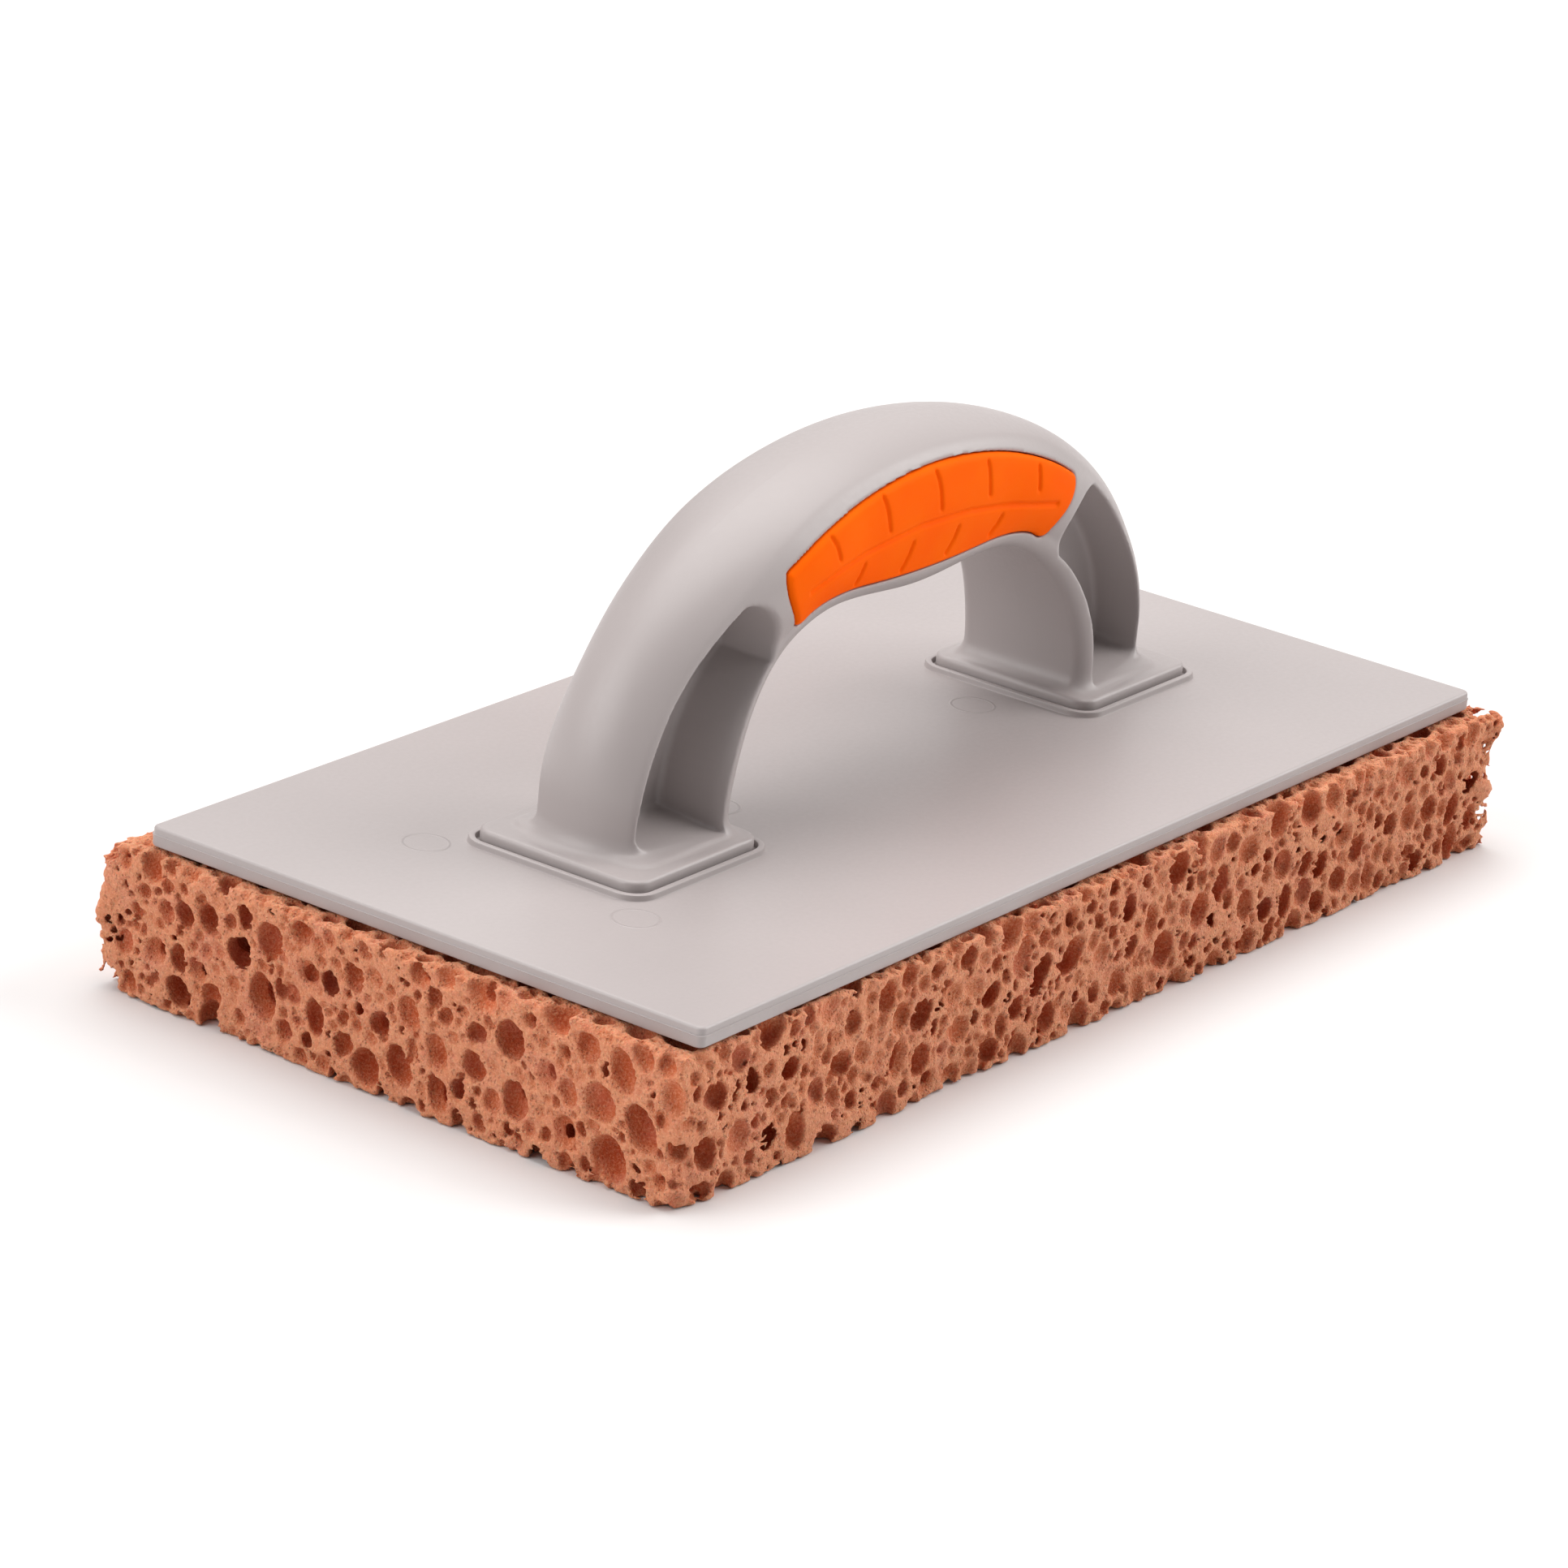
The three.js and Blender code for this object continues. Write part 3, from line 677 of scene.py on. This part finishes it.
def make_sponge():
    step, margin = 0.5, 2.5
    half, thick = SPONGE_HALF, SPONGE_TOP
    low, high = (-half[0] - margin, -half[1] - margin, -1.0), (half[0] + margin, half[1] + margin, thick + 1)
    pores = Pores(low, high, step, 5.0)
    rng = np.random.default_rng(7)
    lace_corners(pores, half, thick, rng)
    fill_pores(pores, half, thick, rng)
    block, covered, z = sponge_block_field(pores.axes, pores.shape, step, half, thick)
    deep = -block
    body = smooth_max(block, -pores.field, 0.9)
    open_face = np.exp(-np.maximum(deep, 0) / 0.8)
    body = body + fuzz_field(pores.shape) * (0.5 * open_face + 0.08) * (1 - covered)
    body = np.maximum(np.maximum(body, z - thick), -z)
    points, quads = skin_of(one_piece(body, deep), pores.low, step, settle=1)
    # Depth of each point below the block's outer surface; the sponge look uses it to paint shade, darker deeper
    # in the pores.
    depth = np.maximum(sample(deep, (points - pores.low) / step), 0)
    made = mesh_object("sponge_block", points, quads, Matrix.Scale(MM, 4))
    shift = Matrix.Translation((SPONGE_SHIFT[0] * MM, SPONGE_SHIFT[1] * MM, 0))
    made.data.transform(Matrix.Rotation(SPONGE_TURN, 4, "Z") @ shift)
    layer = made.data.attributes.new("pore_depth", "FLOAT", "POINT")
    layer.data.foreach_set("value", depth.astype(np.float32))
    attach(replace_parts(made, "sponge_pad"), "root")
    return made


# ------------------------------------------------------------------ materials
class Nodes:
    """A material's node tree, with short calls to add and join nodes."""

    def __init__(self, name):
        self.material = bpy.data.materials.new(name)
        self.material.use_nodes = True
        self.tree = self.material.node_tree
        self.shader = self.tree.nodes["Principled BSDF"]

    def add(self, kind, inputs=None, **settings):
        node = self.tree.nodes.new(kind)
        for key, value in settings.items():
            setattr(node, key, value)
        for key, value in (inputs or {}).items():
            self.put(node.inputs[key], value)
        return node

    def put(self, socket, value):
        if isinstance(value, bpy.types.NodeSocket):
            self.tree.links.new(value, socket)
        else:
            socket.default_value = value

    def set(self, **values):
        for key, value in values.items():
            self.put(self.shader.inputs[key.replace("_", " ").title().replace("Ior", "IOR")], value)

    def math(self, operation, a, b=0.0, clamp=False):
        return self.add("ShaderNodeMath", {0: a, 1: b}, operation=operation, use_clamp=clamp).outputs[0]

    def noise(self, vector, scale, detail=2.0, roughness=0.5):
        return self.add("ShaderNodeTexNoise", {"Vector": vector, "Scale": scale, "Detail": detail,
                                               "Roughness": roughness}).outputs[0]

    def ramp(self, value, stops):
        node = self.add("ShaderNodeValToRGB", {"Fac": value})
        elements = node.color_ramp.elements
        while len(elements) < len(stops):
            elements.new(0.5)
        for element, (at, colour) in zip(elements, stops):
            element.position = at
            element.color = colour if len(colour) == 4 else (*colour, 1)
        return node.outputs[0]

    def mix(self, amount, a, b, mode="MIX"):
        node = self.add("ShaderNodeMix", data_type="RGBA", blend_type=mode)
        for socket, value in ((node.inputs[0], amount), (node.inputs[6], a), (node.inputs[7], b)):
            self.put(socket, value)
        return node.outputs[2]

    def range(self, value, start, end, low=0.0, high=1.0):
        return self.add("ShaderNodeMapRange", {"Value": value, "From Min": start, "From Max": end,
                                               "To Min": low, "To Max": high}).outputs[0]

    def bump(self, height, strength, distance, normal=None):
        inputs = {"Height": height, "Strength": strength, "Distance": distance}
        if normal is not None:
            inputs["Normal"] = normal
        return self.add("ShaderNodeBump", inputs).outputs[0]


def rgb(r, g, b):
    """Linear colour from a display colour of 0 to 255."""
    return tuple(((c / 255 + 0.055) / 1.055) ** 2.4 if c > 10 else c / 255 / 12.92 for c in (r, g, b)) + (1,)


def ejector_marks():
    """Place and radius of each round mark that the mould left on the plate."""
    places = [(-102.3, 25), (-102.3, -25), (43.7, 0), (-43.7, 0)]
    return [((TOP.x + x * MM, TOP.y + y * MM, 0), 4.5 * MM) for x, y in places]


def plastic_material(name, marks=(), seam=False):
    """Satin grey plastic, with faint rings at the marks and a faint parting line along the middle."""
    n = Nodes(name)
    at = n.add("ShaderNodeTexCoord").outputs["Object"]
    broad = n.noise(at, 18, 3)
    fine = n.noise(at, 2600, 2, 0.6)
    colour = n.mix(n.range(broad, 0.3, 0.7), rgb(166, 158, 157), rgb(170, 162, 161))
    n.set(base_color=colour, roughness=n.range(n.noise(at, 900, 3), 0.3, 0.7, 0.36, 0.46))
    normal = n.bump(fine, 0.12, 0.00006)
    height = None
    for centre, radius in marks:
        offset = n.add("ShaderNodeVectorMath", {0: at, 1: centre}, operation="SUBTRACT").outputs[0]
        flat = n.add("ShaderNodeVectorMath", {0: offset, 1: (1, 1, 0)}, operation="MULTIPLY").outputs[0]
        distance = n.add("ShaderNodeVectorMath", {0: flat}, operation="LENGTH").outputs["Value"]
        line = n.range(n.math("ABSOLUTE", n.math("SUBTRACT", distance, radius)), 0.0, 0.0004, 1.0, 0.0)
        height = line if height is None else n.math("MAXIMUM", height, line)
    if seam:
        y = n.add("ShaderNodeSeparateXYZ", {0: at}).outputs["Y"]
        line = n.range(n.math("ABSOLUTE", n.math("SUBTRACT", y, TOP.y)), 0.0, 0.0006, 1.0, 0.0)
        normal = n.bump(n.math("MULTIPLY", line, n.range(n.noise(at, 35, 2), 0.4, 0.65)), 0.35, 0.00012, normal)
    if height is not None:
        normal = n.bump(height, 0.6, 0.0002, normal)
        colour = n.mix(n.math("MULTIPLY", height, 0.16), colour, rgb(146, 138, 136))
        n.set(base_color=colour)
    n.set(normal=normal)
    return n.material


def pad_material():
    n = Nodes("grip_rubber_look")
    at = n.add("ShaderNodeTexCoord").outputs["Object"]
    colour = n.mix(n.range(n.noise(at, 60, 3), 0.3, 0.7), rgb(255, 93, 0), rgb(255, 103, 2))
    n.set(base_color=colour, roughness=n.range(n.noise(at, 1500, 2), 0.3, 0.7, 0.55, 0.68))
    n.set(specular_ior_level=0.03)
    n.set(normal=n.bump(n.noise(at, 3200, 2), 0.15, 0.00008))
    return n.material


def sponge_material():
    n = Nodes("sponge_foam_look")
    at = n.add("ShaderNodeTexCoord").outputs["Object"]
    depth = n.add("ShaderNodeAttribute", attribute_name="pore_depth").outputs["Fac"]
    wander = n.math("MULTIPLY", n.math("SUBTRACT", n.noise(at, 260, 3), 0.5), 1.6)
    # Painted shade: the ramp below turns the colour darker and browner with depth under the block's outer
    # surface, standing in for the shade inside the pores.
    inside = n.range(n.math("ADD", depth, wander), 0.0, 9.0)
    base = n.ramp(inside, [(0.0, rgb(219, 142, 105)), (0.10, rgb(202, 115, 77)), (0.30, rgb(182, 86, 48)),
                           (0.60, rgb(162, 64, 30)), (1.0, rgb(134, 46, 18))])
    pink = n.range(n.noise(at, 140, 3), 0.52, 0.72)
    base = n.mix(n.math("MULTIPLY", pink, 0.35), base, rgb(214, 132, 112))
    # Painted shade: dark specks in fine Voronoi cells stand in for the shade inside pores too small to model,
    # in noise patches and fainter deeper in the pores.
    cells = n.add("ShaderNodeTexVoronoi", {"Vector": at, "Scale": 1150}, feature="F1").outputs["Distance"]
    holes = n.range(cells, 0.12, 0.36)
    where = n.range(n.noise(at, 420, 2), 0.46, 0.62)
    shown = n.range(depth, 0.4, 2.5, 0.55, 0.2)
    speck_shade = n.math("MULTIPLY", n.math("SUBTRACT", 1.0, holes), n.math("MULTIPLY", where, shown))
    base = n.mix(speck_shade, base, rgb(134, 62, 38))
    # Painted highlight: light flecks stand in for light caught on the fine fibres, weaker deeper in the pores.
    fibre_glint = n.range(n.noise(at, 2000, 3, 0.8), 0.45, 0.64)
    base = n.mix(n.math("MULTIPLY", fibre_glint, n.range(depth, 0.3, 3.0, 0.6, 0.3)), base, rgb(240, 175, 138))
    n.set(base_color=base, roughness=n.range(n.noise(at, 700, 2), 0.3, 0.7, 0.85, 0.97))
    n.set(subsurface_weight=0.35, subsurface_scale=0.001)
    n.set(sheen_weight=0.15, sheen_roughness=0.5, specular_ior_level=0.2)
    n.shader.inputs["Sheen Tint"].default_value = rgb(255, 205, 175)
    rough = n.math("ADD", n.math("MULTIPLY", holes, 0.6), n.noise(at, 1700, 3, 0.7))
    n.set(normal=n.bump(rough, n.range(depth, 0.4, 2.5, 0.9, 0.45), 0.0009))
    return n.material


def steel_material():
    n = Nodes("zinc_steel_look")
    at = n.add("ShaderNodeTexCoord").outputs["Object"]
    stretched = n.add("ShaderNodeMapping", {"Vector": at, "Scale": (1.0, 1.0, 12.0)}).outputs[0]
    n.set(base_color=n.mix(n.noise(stretched, 900, 3), rgb(196, 198, 202), rgb(178, 180, 186)), metallic=1.0)
    n.set(roughness=n.range(n.noise(stretched, 1500, 3), 0.3, 0.7, 0.25, 0.42))
    n.set(normal=n.bump(n.noise(stretched, 2500, 2), 0.1, 0.00005))
    return n.material


def glue_material():
    n = Nodes("adhesive_look")
    at = n.add("ShaderNodeTexCoord").outputs["Object"]
    n.set(base_color=n.mix(n.noise(at, 120, 3), rgb(214, 202, 168), rgb(190, 172, 134)))
    n.set(roughness=n.range(n.noise(at, 300, 3), 0.3, 0.7, 0.3, 0.6))
    n.set(normal=n.bump(n.noise(at, 500, 3), 0.4, 0.0003))
    return n.material


def floor_material():
    n = Nodes("floor_look")
    at = n.add("ShaderNodeTexCoord").outputs["Object"]
    n.set(base_color=n.mix(n.noise(at, 3, 2), rgb(219, 218, 218), rgb(222, 221, 221)), roughness=0.9)
    n.set(specular_ior_level=0.1)
    return n.material


def dress(made, material):
    made.data.materials.clear()
    made.data.materials.append(material)


def dress_node(node, material):
    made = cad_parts[node]
    for slot in made.material_slots:
        slot.material = material
    if not made.material_slots:
        made.data.materials.append(material)


# ------------------------------------------------------------------ stage
LIGHTS = [  # name, where it comes from, how wide it looks in degrees, strength
    ("key", (0.2, 0.4, 1.5), 60, 2.7),
    ("left", (-1.25, 0.65, 0.8), 48, 1.75),
    ("side", (1.2, -0.9, 0.9), 45, 2.2),
    ("back", (1.4, 1.0, 0.8), 46, 0.34),
]
LIGHT_COLOUR = (1.0, 0.985, 0.975)
FILL_COLOUR, FILL_STRENGTH = (1.0, 0.985, 0.98, 1), 0.18


def make_floor():
    bm = bmesh.new()
    bmesh.ops.create_grid(bm, x_segments=8, y_segments=8, size=6.0)
    floor = object_from(bm, "floor")
    dress(floor, floor_material())


def make_surroundings():
    """Weak fill light from all round, and a white backdrop that only the camera sees."""
    world = bpy.data.worlds.new("studio")
    SCENE.world = world
    world.use_nodes = True
    nodes, links = world.node_tree.nodes, world.node_tree.links
    fill, backdrop = nodes["Background"], nodes.new("ShaderNodeBackground")
    fill.inputs["Color"].default_value = FILL_COLOUR
    fill.inputs["Strength"].default_value = FILL_STRENGTH
    backdrop.inputs["Color"].default_value = (1, 1, 1, 1)
    seen, mixed = nodes.new("ShaderNodeLightPath"), nodes.new("ShaderNodeMixShader")
    links.new(seen.outputs["Is Camera Ray"], mixed.inputs[0])
    links.new(fill.outputs[0], mixed.inputs[1])
    links.new(backdrop.outputs[0], mixed.inputs[2])
    links.new(mixed.outputs[0], nodes["World Output"].inputs[0])


def make_lights():
    for name, place, degrees, strength in LIGHTS:
        data = bpy.data.lights.new(name, "SUN")
        data.energy, data.angle = strength, math.radians(degrees)
        data.color = LIGHT_COLOUR
        lamp = bpy.data.objects.new(name, data)
        SCENE.collection.objects.link(lamp)
        lamp.location = place
        lamp.rotation_euler = (-Vector(place)).to_track_quat("-Z", "Y").to_euler()


CAMERA_FROM_TOP = Vector((-0.972083, -0.647346, 0.42737))
CAMERA_FORWARD = Vector((0.774543, 0.527489, -0.349053))
CAMERA_RIGHT = Vector((0.587989, -0.803851, 0.089956))


def make_camera():
    data = bpy.data.cameras.new("camera")
    data.lens, data.sensor_width = 143.64, 36
    camera = bpy.data.objects.new("camera", data)
    SCENE.collection.objects.link(camera)
    forward, right = CAMERA_FORWARD.normalized(), CAMERA_RIGHT.normalized()
    turn = Matrix((right, right.cross(forward), -forward)).transposed().to_4x4()
    camera.matrix_world = Matrix.Translation(TOP + CAMERA_FROM_TOP) @ turn
    SCENE.camera = camera


# ------------------------------------------------------------------ assembly
SCENE.view_settings.view_transform = "Standard"
make_camera()
make_floor()
make_surroundings()
make_lights()

grey = plastic_material("handle_plastic_look", seam=True)
handle = make_handle()
dress(handle, grey)
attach(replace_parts(handle, "handle_body"), "root")

plate = make_plate()
dress(plate, plastic_material("plate_plastic_look", marks=ejector_marks()))
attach(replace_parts(plate, "backing_plate"), "root")

rubber = pad_material()
dress(make_pad("front_grip_insert", "front_grip_pad", 0.0), rubber)
dress(make_pad("rear_grip_insert", "rear_grip_pad", math.pi), rubber)

dress(make_sponge(), sponge_material())
dress_node("adhesive_layer", glue_material())
steel = steel_material()
dress_node("left_handle_screw", steel)
dress_node("right_handle_screw", steel)
